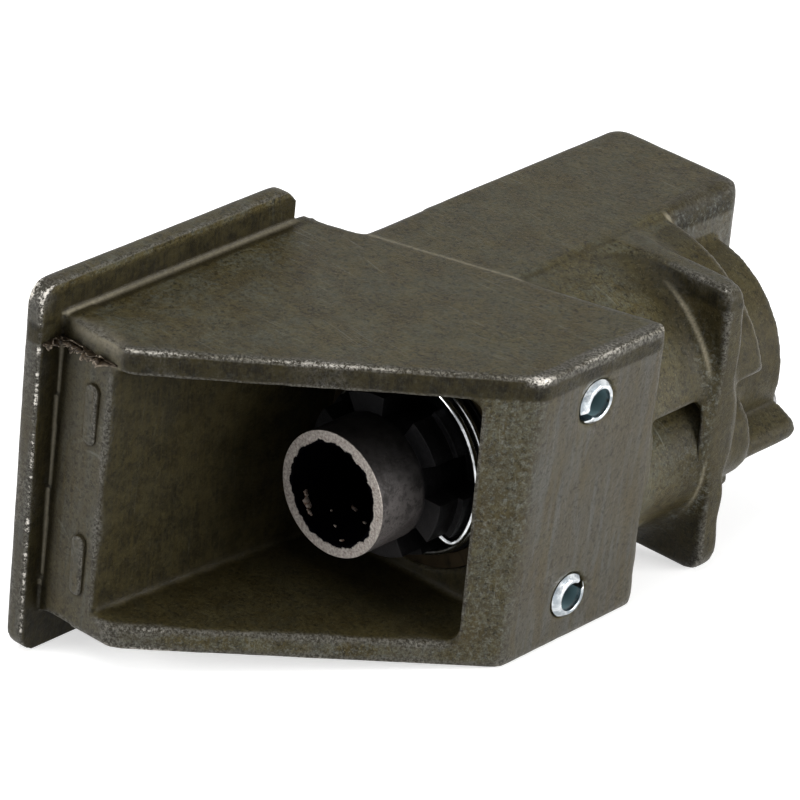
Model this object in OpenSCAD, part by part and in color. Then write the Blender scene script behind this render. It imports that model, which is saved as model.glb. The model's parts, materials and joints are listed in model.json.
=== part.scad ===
// Cast discharge hood with a captive coupling sleeve.
// Origin: centre of the sleeve's front end. +X right, +Y back along the sleeve's axis, +Z up.

/* [Sleeve] */
// Outside diameter of the front tube
tube_d = 22; // [18:0.2:27]
// Wall of the front tube
tube_wall = 2.2; // [1.6:0.1:3]
// Free length of the tube in front of the castellations
tube_reach = 10.5; // [6:0.5:14]
// Number of castellations round the collar
tooth_count = 6; // [5:1:7]
// Width of one castellation, in degrees
tooth_angle = 32; // [20:1:38]
// Height of the castellations' front step over the tube
tooth_rise = 3.3; // [2.5:0.1:4]
// How far the roots between the castellations lie below the tube
root_relief = 0.3; // [0.1:0.1:0.6]
// Length of the castellations' front step
tooth_l = 4.5; // [3:0.5:6]
// Height of the castellations' rear step over the front step
step_rise = 1; // [0.5:0.1:1.5]
// Length of the castellations' rear step
step_l = 6.2; // [5.8:0.2:8]
// Height of the journal over the castellations
journal_rise = 1.7; // [1.2:0.1:2.5]
// How much the thread's minor radius exceeds the tube's bore
thread_rise = 0.39; // [0.2:0.01:1]
// Depth of the pipe thread from the sleeve's rear end
thread_l = 23; // [15:0.5:28]

/* [Pins and bushes] */
// Diameter of the slotted spring pins
pin_d = 8; // [6:0.5:10]
// Length of the spring pins
pin_l = 40; // [33:1:48]
// Wall of the spring pins
pin_wall = 1.5; // [1:0.1:1.8]
// How far the pins reach into the journal
pin_bite = 2.55; // [2:0.05:3.2]
// How far the pins stand out of the right wall
pin_proud = 0.7; // [0.2:0.1:1.5]
// Wall of the bushes
bush_t = 2.85; // [1.5:0.05:3.5]
// Length of the front bush
front_bush_l = 5.3; // [4:0.1:7]
// Length of the rear bush
rear_bush_l = 11.8; // [9:0.1:15]
// Thickness of the thrust washer
washer_t = 1.5; // [1:0.1:2]

/* [Hood] */
// Height of the hood
hood_h = 54; // [45:0.5:65]
// Thickness of the hood's top and bottom
hood_plate = 4.6; // [3:0.1:5.6]
// Thickness of the right wall
wall_t = 6.8; // [5:0.1:8.2]
// Lean of the right wall: how far its top stands out past mid height
wall_lean = 1; // [0:0.1:1.5]
// Front corner of the right wall, in front of the chamber's back wall
wall_front = 4.9; // [2:0.1:8]
// How far the right wall's back corner lies behind the sleeve's end
wall_back = 2.4; // [0:0.1:6]
// Front corner of the hood, in front of the sleeve's end
mouth_front = 29.3; // [24:0.1:35]
// Lean of the front wall: how far its bottom stands out past mid height
front_lean = 0.8; // [0:0.1:1.5]
// How much wider the chamber's left side is at the mouth than at its back
chamber_splay = 3.9; // [2:0.1:5]
// Width of the front wall beside the opening
front_wall_w = 12.6; // [10:0.1:16]
// Corner radius of the chamber
chamber_round = 2; // [1:0.1:3]

/* [Flange] */
// Thickness of the flange
flange_t = 3.8; // [3:0.1:5]
// Length of the flange
flange_len = 60.2; // [55:0.2:72.4]
// Height of the flange
flange_h = 68.2; // [56:0.2:82]
// How far the flange's front edge lies in front of the hood
flange_front = 3.5; // [2:0.1:6]
// How far the flange's middle lies below the axis
flange_drop = 0.7; // [0:0.1:2]
// Corner radius of the flange
flange_round = 4; // [2:0.5:6]
// Wall left round the flange's hollow
pocket_wall = 3.4; // [2.5:0.1:5]

/* [Barrel] */
// Wall of the barrel round the main bore
barrel_wall = 6.5; // [5:0.1:8]
// Length of the barrel behind the main bore
barrel_l = 31; // [26:0.5:38]
// Wall of the rear neck round the liner
neck_wall = 7.65; // [7:0.05:9]
// Length of the rear neck behind the barrel
neck_l = 13; // [10:0.5:16]
// Distance from the square rib's front face to the barrel's end
rib_back = 14.4; // [10:0.2:18]
// Thickness of the rib
rib_t = 4.4; // [3:0.2:6]
// Fillet between the barrel and the rib
rib_fillet = 2.6; // [1:0.1:3]
// Inside diameter of the rear socket
socket_d = 22.1; // [18.4:0.1:26.6]
// Wall of the socket's liner
liner_t = 1; // [0.6:0.1:1.4]

/* [Block] */
// Right face of the block, right of the axis
block_right = 1.9; // [0:0.1:3]
// Height of the block
block_h = 18.7; // [16:0.1:22]
// How far the block reaches behind the neck
block_back = 6.8; // [2:0.1:10]
// Wall round the block's hollow
block_wall = 3.4; // [2.5:0.1:4]
// Width of the block's hollow
hollow_w = 13.4; // [11:0.1:15]
// Depth of the block's hollow from its rear end
hollow_l = 44; // [20:1:48]

/* [Detent wire] */
// Diameter of the wire
wire_d = 1; // [0.8:0.1:1.2]
// Distance between neighbouring turns
wire_pitch = 2.1; // [1.7:0.1:2.4]
// Depth of the hook inside the castellations
hook_depth = 1.2; // [0.6:0.1:2]
// Depth of the fixed leg in the chamber's back wall
leg_depth = 5; // [3:0.5:8]

/* [Plunger] */
// Direction of the plunger's boss, from +X towards +Z
boss_angle = -25; // [-30:1:-20]
// Wall between the socket's liner and the plunger's bore
boss_wall = 0.85; // [0.6:0.05:1.5]
// Diameter of the plunger's boss
boss_d = 18; // [16:0.5:21]
// Diameter of the plunger's rod
rod_d = 5; // [4:0.1:5.2]
// Diameter of the plunger's head
head_d = 8.4; // [7:0.1:10]
// Length of the plunger's head
head_l = 4.6; // [3:0.2:6]
// Distance from the end of the head's bore to the barrel's end
head_stop = 4; // [2:0.5:8]
// How far the plunger stands out of the neck
rod_proud = 2; // [1.5:0.5:6]
// Diameter of the plunger spring's wire
spring_wire_d = 0.8; // [0.6:0.1:1]
// Number of turns of the plunger spring
spring_turns = 10; // [8:1:12]
// Wall of the guide bush
guide_t = 0.85; // [0.6:0.05:0.9]
// Length of the guide bush
guide_l = 8; // [5:0.5:9]
// Thickness of the fin over the guide bush
fin_t = 5; // [5:0.1:7]

/* [Clearances] */
// Radial clearance of a running fit
run_gap = 0.05; // [0.02:0.01:0.1]
// Clearance between faces that pass each other
pass_gap = 0.3; // [0.2:0.05:0.5]

/* [Hidden] */
$fn = 96;
corner_steps = 6;
overlap = 1;
slab = 0.2;
far_out = 80;

// Radii of the sleeve, of what it turns in, and of the socket behind it
tube_r = tube_d / 2;
tube_bore_r = tube_r - tube_wall;
root_r = tube_r - root_relief;
thread_r = tube_bore_r + thread_rise;
tooth_r = tube_r + tooth_rise;
step_r = tooth_r + step_rise;
journal_r = step_r + journal_rise;
groove_r = journal_r - pin_bite - pass_gap;
bush_bore_r = journal_r + run_gap;
main_bore_r = bush_bore_r + bush_t;
barrel_r = main_bore_r + barrel_wall;
socket_r = socket_d / 2;
liner_r = socket_r + liner_t;
neck_r = liner_r + neck_wall;

// Places along the axis
tooth_y = tube_reach;
step_y = tooth_y + tooth_l;
journal_y = step_y + step_l;
chamber_back_y = journal_y + pass_gap;
groove_half = pin_d / 2 + pass_gap;
pin_y = chamber_back_y + front_bush_l + groove_half;
sleeve_end_y = pin_y + groove_half + rear_bush_l;
bore_end_y = sleeve_end_y + pass_gap + washer_t;
barrel_end_y = bore_end_y + barrel_l;
neck_end_y = barrel_end_y + neck_l;
rib_y = barrel_end_y - rib_back;
block_end_y = neck_end_y + block_back;

// Hood, seen from above
half_h = hood_h / 2;
chamber_half_h = half_h - hood_plate;
chamber_right_margin = 0.7;
chamber_left_margin = 0.1;
mouth_inset = 3.5;
chamber_right_x = main_bore_r + chamber_right_margin;
chamber_left_x = -main_bore_r - chamber_left_margin;
opening_left_x = chamber_left_x - chamber_splay;
mouth_left_x = opening_left_x + mouth_inset;
flange_face_x = opening_left_x - front_wall_w;
wall_x = chamber_right_x + wall_t;
wall_front_y = chamber_back_y - wall_front;
wall_back_y = sleeve_end_y + wall_back;
hood_back_slope = 0.285;
front_wall_slope = 0.07;
hood_rounds = [0.6, 0.6, 4, 3.5, 2];
function wall_x_at(z) = wall_x + wall_lean * z / half_h;
function front_wall_y(x, z) =
    -mouth_front + front_lean * z / half_h + front_wall_slope * (mouth_left_x - x);

// Plan of the hood: side is +1 at its top and -1 at its bottom
function hood_plan(side) =
    let (
        right = wall_x + side * wall_lean,
        left = flange_face_x - overlap,
        front = -mouth_front + side * front_lean,
        back = wall_back_y - side * front_lean
    )
    [
        [left, back - hood_back_slope * (right - left)],
        [left, front_wall_y(left, side * half_h)],
        [mouth_left_x - side * front_lean, front],
        [right, wall_front_y + side * front_lean],
        [right, back]
    ];

// Hollow behind the flange
flange_front_y = -mouth_front - flange_front;
flange_back_y = flange_front_y + flange_len;
pocket_right_x = opening_left_x - pocket_wall;
pocket_front_y = front_wall_y(flange_face_x, half_h) + pocket_wall;
pocket_back_y = min(hood_plan(1)[0][1], flange_back_y) - pocket_wall;
pocket_round = 3;

// Pads on the front wall
pad_shift = 2.2;
pad_x = (flange_face_x + opening_left_x) / 2 + pad_shift;
pad_size = [2.7, 11];
pad_round = 1.33;
pad_proud = 0.6;
pad_z = [12.6, -15];

// Spring pins
pin_z = journal_r - pin_bite + pin_d / 2;
pin_slot_w = 1.8;

// Barrel, rib and block
channel_from = -37;
channel_to = 15;
channel_wall = 1.5;
channel_y = bore_end_y + channel_wall;
block_side = 0.3;
block_rise = 0.35;
block_draft = 0.75;
block_left_x = -barrel_r - block_side;
block_top_z = barrel_r + block_rise;
block_low_z = block_top_z - block_h;
block_front_y = chamber_back_y + overlap;
block_round = 3;
block_edge_round = 3;
hollow_round = 1;
function block_top_at(y) =
    block_top_z + block_draft * (y - block_front_y) / (block_end_y - block_front_y);

// The rib squares off the barrel and leaves out the corner that the block fills
rib_rise = 0.6;
rib_half = barrel_r + rib_rise;
rib_left_x = block_left_x + block_side / 2;
rib_round = 3;
rib_root_round = 0.5;
rib_start_x = block_right - block_edge_round - overlap;
rib_plan = [
    [rib_start_x, block_low_z + overlap],
    [rib_start_x, rib_half],
    [rib_half, rib_half],
    [rib_half, -rib_half],
    [rib_left_x, -rib_half],
    [rib_left_x, block_low_z + overlap]
];
rib_rounds = [rib_root_round, rib_root_round, rib_round, rib_round, rib_round, rib_root_round];

// Plunger
head_bore_r = head_d / 2 + 2 * run_gap;
boss_reach = liner_r + boss_wall + head_bore_r;
boss_at = boss_reach * [cos(boss_angle), sin(boss_angle)];
channel_floor_r = boss_reach + pass_gap;
head_end_y = barrel_end_y - head_stop - run_gap;
rod_bore_r = rod_d / 2 + run_gap;
rod_clear_r = rod_d / 2 + pass_gap;
guide_r = rod_bore_r + guide_t;
guide_y = neck_end_y - guide_l;
fin_inset = 0.5;
fin_reach = boss_reach + boss_d / 2 - fin_inset;
fin_proud = 1;
fin_end_y = neck_end_y + fin_proud;

// Detent wire: a hook between two castellations, the turns, then a leg into the chamber's back wall
wire_r = wire_d / 2;
wire_sides = 6;
wire_rings_per_turn = 24;
coil_r = step_r + pass_gap + wire_r;
wire_set_back = 2.2;
wire_y = step_y + wire_set_back;
tooth_start = 45;
tooth_pitch = 360 / tooth_count;
hook_turn = 5;
hook_angle = tooth_start - 1.5 * tooth_pitch + hook_turn;
hook_r = tooth_r - hook_depth + wire_r;
hook_reach = 1.1;
hook_lead = 9;
leg_angle = 487;
leg_offset = 1.6;
leg_r = main_bore_r + leg_offset;
leg_bend = 40;
leg_steps = 4;
leg_play = 0.1;
leg_hole_r = wire_r + leg_play;
function polar(a, r, y) = [r * cos(a), y, r * sin(a)];
function ease(t) = t * t * (3 - 2 * t);
function wire_turn_y(a) = wire_y + wire_pitch * (a - hook_angle) / 360;
wire_path = concat(
    [
        polar(hook_angle, hook_r, wire_y - hook_reach),
        polar(hook_angle + hook_lead / 18, (hook_r + coil_r) / 2, wire_y - 0.64 * hook_reach),
        polar(hook_angle + hook_lead / 3, coil_r - 0.12 * (coil_r - hook_r), wire_y - 0.18 * hook_reach)
    ],
    [for (a = [hook_angle + hook_lead : 360 / wire_rings_per_turn : leg_angle - leg_bend])
        polar(a, coil_r, wire_turn_y(a))],
    [for (i = [1 : leg_steps]) let (t = i / leg_steps, a = leg_angle - leg_bend * (1 - t))
        polar(a, coil_r + (leg_r - coil_r) * ease(t), wire_turn_y(a))],
    [
        polar(leg_angle, leg_r, wire_turn_y(leg_angle) + wire_d),
        polar(leg_angle, leg_r, chamber_back_y + leg_depth)
    ]
);

// Plunger spring: one rising helix between the thrust washer and the plunger's head
spring_rings_per_turn = 8;
spring_seat = 0.05;
spring_r = head_d / 2 - spring_wire_d / 2 - run_gap;
spring_y = bore_end_y + spring_wire_d / 2 + spring_seat;
spring_l = head_end_y - head_l - spring_wire_d / 2 - spring_seat - spring_y;
spring_steps = spring_turns * spring_rings_per_turn;
spring_path = [for (i = [0 : spring_steps]) let (a = 360 * i / spring_rings_per_turn)
    [boss_at[0] + spring_r * cos(a), spring_y + spring_l * i / spring_steps, boss_at[1] + spring_r * sin(a)]];

// Outlines with rounded corners, and ring sectors
function unit(v) = v / norm(v);
function corner_arc(a, b, c, r) =
    let (
        u = unit(a - b),
        v = unit(c - b),
        half = acos(u * v) / 2,
        middle = b + unit(u + v) * r / sin(half),
        from = unit(b + u * r / tan(half) - middle),
        to = unit(b + v * r / tan(half) - middle)
    )
    [for (i = [0 : corner_steps]) let (t = i / corner_steps) middle + r * unit((1 - t) * from + t * to)];
function rounded(points, radii) =
    let (n = len(points))
    [for (i = [0 : n - 1])
        each corner_arc(points[(i + n - 1) % n], points[i], points[(i + 1) % n], radii[i])];
function rounded_box(from, to, r) =
    rounded([from, [to[0], from[1]], to, [from[0], to[1]]], [r, r, r, r]);
function arc(r, from, to, steps) =
    [for (i = [0 : steps]) let (a = from + (to - from) * i / steps) r * [cos(a), sin(a)]];
function sector(inner, outer, from, to) = concat(arc(inner, from, to, 12), arc(outer, to, from, 4));

// Tube swept along a path as one closed skin, its sides carried along without twist
function path_dir(p, i) = unit(p[min(i + 1, len(p) - 1)] - p[max(i - 1, 0)]);
function first_side(d) = unit(cross(d, abs(d[1]) > 0.8 ? [0, 0, 1] : [0, 1, 0]));
function carried_side(d, s) = unit(s - d * (d * s));
function sides(p) =
    [for (i = 0, s = first_side(path_dir(p, 0)); i < len(p);
        i = i + 1, s = carried_side(path_dir(p, min(i, len(p) - 1)), s)) s];
function ring(p, i, s, r, n) =
    let (up = cross(path_dir(p, i), s))
    [for (k = [0 : n - 1]) p[i] + r * (s * cos(360 * k / n) + up * sin(360 * k / n))];
module swept_tube(p, r, n) {
    side = sides(p);
    last = len(p) - 1;
    skin = [for (i = [0 : last - 1]) for (k = [0 : n - 1])
        let (a = i * n + k, b = i * n + (k + 1) % n) each [[a, a + n, b], [b, a + n, b + n]]];
    caps = [for (k = [1 : n - 2]) each [[0, k, k + 1], [last * n, last * n + k + 1, last * n + k]]];
    polyhedron([for (i = [0 : last]) each ring(p, i, side[i], r, n)], concat(skin, caps));
}
function self_gap(p, d, apart) =
    min([for (i = [0 : len(p) - 1 - apart]) for (j = [i + apart : len(p) - 1]) norm(p[i] - p[j])]) - d;
echo(detent_wire_gap = self_gap(wire_path, wire_d, wire_rings_per_turn / 2));
echo(plunger_spring_gap = self_gap(spring_path, spring_wire_d, spring_rings_per_turn / 2));

// Bodies along an axis
module rod_y(r, from, to) {
    translate([0, from, 0]) rotate([-90, 0, 0]) cylinder(r = r, h = to - from);
}
module prism_y(points, from, to) {
    translate([0, to, 0]) rotate([90, 0, 0]) linear_extrude(to - from) polygon(points);
}
module prism_x(points, from, to) {
    translate([from, 0, 0]) rotate([90, 0, 90]) linear_extrude(to - from) polygon(points);
}
module ring_y(inner, outer, from, to) {
    difference() {
        rod_y(outer, from, to);
        rod_y(inner, from - overlap, to + overlap);
    }
}
module at_boss() {
    translate([boss_at[0], 0, boss_at[1]]) children();
}

// Casting, outside
module hood_body() {
    hull() {
        translate([0, 0, half_h - slab]) linear_extrude(slab) polygon(rounded(hood_plan(1), hood_rounds));
        translate([0, 0, -half_h]) linear_extrude(slab) polygon(rounded(hood_plan(-1), hood_rounds));
    }
}
module flange_plate() {
    low = [flange_front_y, -flange_h / 2 - flange_drop];
    prism_x(rounded_box(low, low + [flange_len, flange_h], flange_round),
        flange_face_x - flange_t, flange_face_x);
}
module front_pads() {
    for (z = pad_z) {
        face_y = front_wall_y(pad_x, z);
        low = [pad_x, z] - pad_size / 2;
        prism_y(rounded_box(low, low + pad_size, pad_round), face_y - pad_proud, face_y + overlap);
    }
}
module barrel() {
    difference() {
        rod_y(barrel_r, chamber_back_y + overlap, barrel_end_y);
        prism_y(sector(channel_floor_r, far_out, channel_from, channel_to),
            channel_y, barrel_end_y + overlap);
    }
    at_boss() rod_y(boss_d / 2, chamber_back_y + overlap, barrel_end_y);
    rod_y(neck_r, barrel_end_y - overlap, neck_end_y);
}
module rib_outline(from, to) {
    prism_y(rounded(rib_plan, rib_rounds), from, to);
}
module fillet_ring(y, way) {
    inner = barrel_r - overlap;
    curve = [for (i = [0 : corner_steps]) let (a = 90 * i / corner_steps)
        [barrel_r + rib_fillet * (1 - cos(a)), way * rib_fillet * (1 - sin(a))]];
    translate([0, y, 0]) rotate([-90, 0, 0])
        rotate_extrude() polygon(concat([[inner, 0], [inner, way * rib_fillet]], curve));
}
module rib() {
    rib_outline(rib_y, rib_y + rib_t);
    intersection() {
        rib_outline(rib_y - rib_fillet - overlap, rib_y + rib_t + rib_fillet + overlap);
        union() {
            fillet_ring(rib_y, -1);
            fillet_ring(rib_y + rib_t, 1);
        }
    }
}
// The block's top rises a little to the rear, and its right edge is rounded
module block() {
    front = [block_left_x, block_front_y];
    back = [block_right, block_end_y];
    sky = block_top_z + block_draft + 2 * overlap;
    ends = [block_front_y - overlap, block_end_y + overlap];
    edge = [block_right, block_top_at(block_end_y)] - block_edge_round * [1, 1];
    curve = [for (p = arc(block_edge_round, 0, 90, corner_steps)) edge + p];
    outside = [[edge[0], sky], [block_right + overlap, sky], [block_right + overlap, edge[1]]];
    difference() {
        translate([0, 0, block_low_z])
            linear_extrude(sky - overlap - block_low_z) polygon(rounded_box(front, back, block_round));
        prism_x([
            [ends[0], block_top_at(ends[0])],
            [ends[1], block_top_at(ends[1])],
            [ends[1], sky],
            [ends[0], sky]
        ], block_left_x - overlap, block_right + overlap);
        prism_y(concat(curve, outside), ends[0], ends[1]);
    }
}
module fin() {
    root = liner_r + overlap;
    tip = fin_reach - fin_t / 2;
    rotate([0, -boss_angle, 0]) {
        translate([root, barrel_end_y - overlap, -fin_t / 2])
            cube([tip - root, fin_end_y - barrel_end_y + overlap, fin_t]);
        translate([tip, 0, 0]) rod_y(fin_t / 2, barrel_end_y - overlap, fin_end_y);
    }
}

// Casting, hollows
module chamber() {
    intersection() {
        linear_extrude(hood_h, center = true) polygon([
            [opening_left_x, -mouth_front],
            [opening_left_x, -far_out],
            [far_out, -far_out],
            [chamber_right_x, -mouth_front],
            [chamber_right_x, chamber_back_y],
            [chamber_left_x, chamber_back_y]
        ]);
        prism_y(rounded_box([-far_out, -chamber_half_h], [chamber_right_x, chamber_half_h], chamber_round),
            -far_out, far_out);
    }
}
module flange_hollow() {
    prism_x(rounded_box([pocket_front_y, -chamber_half_h], [pocket_back_y, chamber_half_h], pocket_round),
        -far_out, pocket_right_x);
}
module block_hollow() {
    low = [block_left_x + block_wall, block_low_z + block_wall];
    prism_y(rounded_box(low, [low[0] + hollow_w, block_top_z - block_wall], hollow_round),
        block_end_y - hollow_l, block_end_y + overlap);
}
module pin_hole(z) {
    translate([wall_x_at(z) + pin_proud - pin_l, pin_y, z])
        rotate([0, 90, 0]) cylinder(d = pin_d, h = pin_l + far_out);
}
module plunger_bores() {
    rod_y(head_bore_r, bore_end_y - overlap, barrel_end_y - head_stop);
    rod_y(rod_clear_r, bore_end_y, neck_end_y + far_out);
    rod_y(guide_r, guide_y, neck_end_y + far_out);
}
module leg_hole() {
    at = polar(leg_angle, leg_r, 0);
    translate(at) rod_y(leg_hole_r, chamber_back_y - overlap, chamber_back_y + leg_depth + pass_gap);
}

module housing() {
    color("#4b4a3c") difference() {
        union() {
            hood_body();
            flange_plate();
            front_pads();
            barrel();
            rib();
            block();
            fin();
        }
        chamber();
        flange_hollow();
        block_hollow();
        rod_y(main_bore_r, chamber_back_y - overlap, bore_end_y);
        rod_y(liner_r, bore_end_y - overlap, neck_end_y + far_out);
        for (z = [pin_z, -pin_z]) pin_hole(z);
        at_boss() plunger_bores();
        leg_hole();
    }
}

module sleeve_slots() {
    for (i = [0 : tooth_count - 1]) {
        from = tooth_start + tooth_angle / 2 + i * tooth_pitch;
        to = from + tooth_pitch - tooth_angle;
        prism_y(sector(root_r - overlap, far_out, from, to), tooth_y - overlap, journal_y);
    }
}
module castellations() {
    difference() {
        union() {
            rod_y(tooth_r, tooth_y, step_y + overlap);
            rod_y(step_r, step_y, journal_y + overlap);
        }
        sleeve_slots();
    }
}
module journal() {
    difference() {
        rod_y(journal_r, journal_y, sleeve_end_y);
        ring_y(groove_r, far_out, pin_y - groove_half, pin_y + groove_half);
    }
}
module coupling_sleeve() {
    color("#6b6a66") difference() {
        union() {
            rod_y(tube_r, 0, tooth_y);
            rod_y(root_r, tooth_y - overlap, journal_y + overlap);
            castellations();
            journal();
        }
        rod_y(tube_bore_r, -overlap, sleeve_end_y);
        rod_y(thread_r, sleeve_end_y - thread_l, sleeve_end_y + overlap);
    }
}

module front_bush() {
    color("#a98045") ring_y(bush_bore_r, main_bore_r, chamber_back_y, pin_y - groove_half);
}
module rear_bush() {
    color("#a98045") ring_y(bush_bore_r, main_bore_r, pin_y + groove_half, sleeve_end_y);
}
module thrust_washer() {
    color("#8d8a84") ring_y(liner_r + pass_gap, main_bore_r - pass_gap, bore_end_y - washer_t, bore_end_y);
}
module socket_liner() {
    color("#77767a") ring_y(socket_r, liner_r, bore_end_y, neck_end_y);
}

// Slotted spring pin along X: slot_angle is the way its slot faces, from +Y towards +Z
module spring_pin(z, slot_angle) {
    r = pin_d / 2;
    chamfer = pin_wall * 0.6;
    profile = [
        [r - pin_wall, 0],
        [r - chamfer, 0],
        [r, chamfer],
        [r, pin_l - chamfer],
        [r - chamfer, pin_l],
        [r - pin_wall, pin_l]
    ];
    translate([wall_x_at(z) + pin_proud - pin_l, pin_y, z]) rotate([slot_angle, 0, 0]) difference() {
        rotate([0, 90, 0]) rotate_extrude() polygon(profile);
        translate([-overlap, 0, -pin_slot_w / 2]) cube([pin_l + 2 * overlap, pin_d, pin_slot_w]);
    }
}
module upper_spring_pin() {
    color("#c9ced2") spring_pin(pin_z, 215);
}
module lower_spring_pin() {
    color("#c9ced2") spring_pin(-pin_z, 35);
}

module detent_wire() {
    color("#d5d8da") swept_tube(wire_path, wire_r, wire_sides);
}
module locking_plunger() {
    color("#85847f") at_boss() {
        rod_y(head_d / 2, head_end_y - head_l, head_end_y);
        rod_y(rod_d / 2, head_end_y - overlap, neck_end_y + rod_proud);
    }
}
module plunger_spring() {
    color("#b9bcbe") swept_tube(spring_path, spring_wire_d / 2, wire_sides);
}
module plunger_guide() {
    color("#a98045") at_boss() ring_y(rod_bore_r, guide_r, guide_y, neck_end_y);
}

housing();
coupling_sleeve();
front_bush();
rear_bush();
thrust_washer();
socket_liner();
upper_spring_pin();
lower_spring_pin();
detent_wire();
locking_plunger();
plunger_spring();
plunger_guide();
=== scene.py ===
"""Studio scene of a cast discharge hood with its captive coupling sleeve.

The frame is the CAD frame: the origin is the centre of the sleeve's front end, +X right, +Y back along
the sleeve's axis, +Z up. Lengths are in metres, and MM turns the drawing's millimetres into metres.
"""
import json
import math

import bmesh
import bpy
import numpy as np
from mathutils import Matrix, Vector, noise
from mathutils.bvhtree import BVHTree


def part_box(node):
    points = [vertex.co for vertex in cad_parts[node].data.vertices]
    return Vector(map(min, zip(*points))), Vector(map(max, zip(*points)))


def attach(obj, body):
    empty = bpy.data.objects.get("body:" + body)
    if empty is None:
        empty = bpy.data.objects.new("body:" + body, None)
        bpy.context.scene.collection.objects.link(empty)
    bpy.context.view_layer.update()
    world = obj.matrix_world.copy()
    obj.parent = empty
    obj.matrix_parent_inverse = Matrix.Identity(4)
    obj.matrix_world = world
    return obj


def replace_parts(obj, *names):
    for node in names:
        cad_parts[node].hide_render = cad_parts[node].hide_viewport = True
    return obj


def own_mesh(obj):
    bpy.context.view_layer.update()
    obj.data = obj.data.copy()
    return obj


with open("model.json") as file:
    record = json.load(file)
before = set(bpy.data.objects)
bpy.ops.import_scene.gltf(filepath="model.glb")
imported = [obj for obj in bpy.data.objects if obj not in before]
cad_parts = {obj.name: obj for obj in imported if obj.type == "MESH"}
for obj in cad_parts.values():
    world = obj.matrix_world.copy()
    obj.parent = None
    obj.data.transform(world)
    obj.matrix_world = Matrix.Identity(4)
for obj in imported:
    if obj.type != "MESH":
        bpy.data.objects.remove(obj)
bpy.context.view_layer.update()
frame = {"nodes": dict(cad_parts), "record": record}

MM = 0.001
RECORD = frame["record"]
MOUNTS = {mount["name"]: mount for mount in RECORD["mounts"]}
HOUSING = frame["nodes"]["housing"].data
HOUSING_TREE = BVHTree.FromPolygons([v.co for v in HOUSING.vertices], [p.vertices for p in HOUSING.polygons])

# The casting: voxel size, and rounds of smoothing that give its edges, fillets and rubbed corner their
# roundness; then the rounds, and the height in them, that an edge's bulge is measured with
VOXEL = 0.5 * MM
CAST_ROUNDS = 10
FILLET_ROUNDS = 90
CORNER_ROUNDS = 30
BULGE_ROUNDS = 24
FULL_BULGE = 0.3 * MM

# The casting's waviness, and how uneven the right wall's and the rib's back edges are
WAVE = 9 * MM
WAVE_DEPTH = 0.07 * MM
BACK_EDGE_WAVE = 0.5 * MM
RIB_EDGE_WAVE = 0.8 * MM

# The chamber in the casting, as in the CAD source
CHAMBER_LOW = Vector((-24.3, -60, -22.7)) * MM
CHAMBER_HIGH = Vector((20.9, 22, 22.7)) * MM

# Corners and edges that took knocks: place and reach in mm, and how bare they are
KNOCKS = [
    ((-38.4, -32, 32.5), 6, 0.5),
    ((-38.4, -32.8, 18), 7, 0.3),
    ((-38.4, -32.8, -4), 6, 0.32),
    ((-38.4, -32.8, -24), 5, 0.2),
    ((-36.6, -6, 33.3), 9, 0.08),
    ((-36.6, 20, 33.3), 8, 0.12),
    ((28, 16.5, 27), 3.6, 0.5),
    ((28.3, 49, 27), 1.8, 0.8),
    ((28.3, 33, 27), 12, 0.3),
    ((4, -8, 26.5), 13, 0.36),
    ((-16, -26, 26.5), 8, 0.34),
    ((14, 2, 23), 8, 0.2),
    ((-29, -28.6, 26.5), 6, 0.2),
    ((-16, -24, -26.5), 8, 0.4),
    ((4, -6, -26.5), 9, 0.3),
    ((16, 6, -26), 8, 0.3),
    ((-24.4, -29, 14), 7, 0.22),
    ((-24.4, -29, -6), 7, 0.18),
    ((26.5, 66.5, 26), 3.2, 0.42),
    ((20, 66, 27), 5, 0.28),
    ((27, 67, -26), 2.4, 0.3),
    ((1.5, 99, 26), 4, 0.16),
]

# The masks that the paint reads from a mesh's vertices: worn edges, hollows (painted shade, and a painted
# highlight in the deepest), dark places (painted shade, and darker paint on the lip and the block's band),
# knocks, grey tint (painted sheen, and grey wear on the rubbed corner), painted highlight lines, and pale
# dots
PAINT_MASKS = ("edge", "cave", "inside", "knock", "grey", "line", "mouth")

# The rib, the barrel and boss that it stands on, and the hood and block beside it, as in the CAD source
RIB_Y = 65.6 * MM
RIB_FILLET = 2.6 * MM
BARREL_R = 26.4 * MM
BOSS_R = 9 * MM
BARREL_END = 80 * MM
HOOD_BACK = 50 * MM
BLOCK_LOW_Z = 11 * MM
RIB_BACK = 70 * MM

# The boss's flare towards the rib, all round and above, and where the painted highlight line in front of the
# rib ends
FLARE_START = 54 * MM
FLARE = 1.8 * MM
FLARE_UP = 3.2 * MM
HIGHLIGHT_LOW_Z = 10 * MM

# The hood's rear top edge, and the block behind it, as in the CAD source
HOOD_END_Y = 48.8 * MM
HOOD_END_SLOPE = 0.285
HOOD_RIGHT = 28.4 * MM
BLOCK_RIGHT = 1.9 * MM
BLOCK_TOP = 26.7 * MM

# Where the flange's face meets the hood's top and front wall, as in the CAD source
FLANGE_FACE_X = -36.5 * MM
HOOD_TOP = 27 * MM
FRONT_WALL_Y = -28.17 * MM
FRONT_LEAN = 0.8 / 27
FLANGE_FRONT_Y = -32.8 * MM

# Oblong pads on the front wall: width and height, sides of the outline, and where the wall is found from
PAD_SIZE = Vector((2.7, 11)) * MM
PAD_SIDES = 32
PAD_X = -28 * MM
PAD_ZS = (12.6 * MM, -15 * MM)
PAD_MARGIN = Vector((1.6, 1.6)) * MM
FRONT_OF_ALL = -60 * MM

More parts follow.
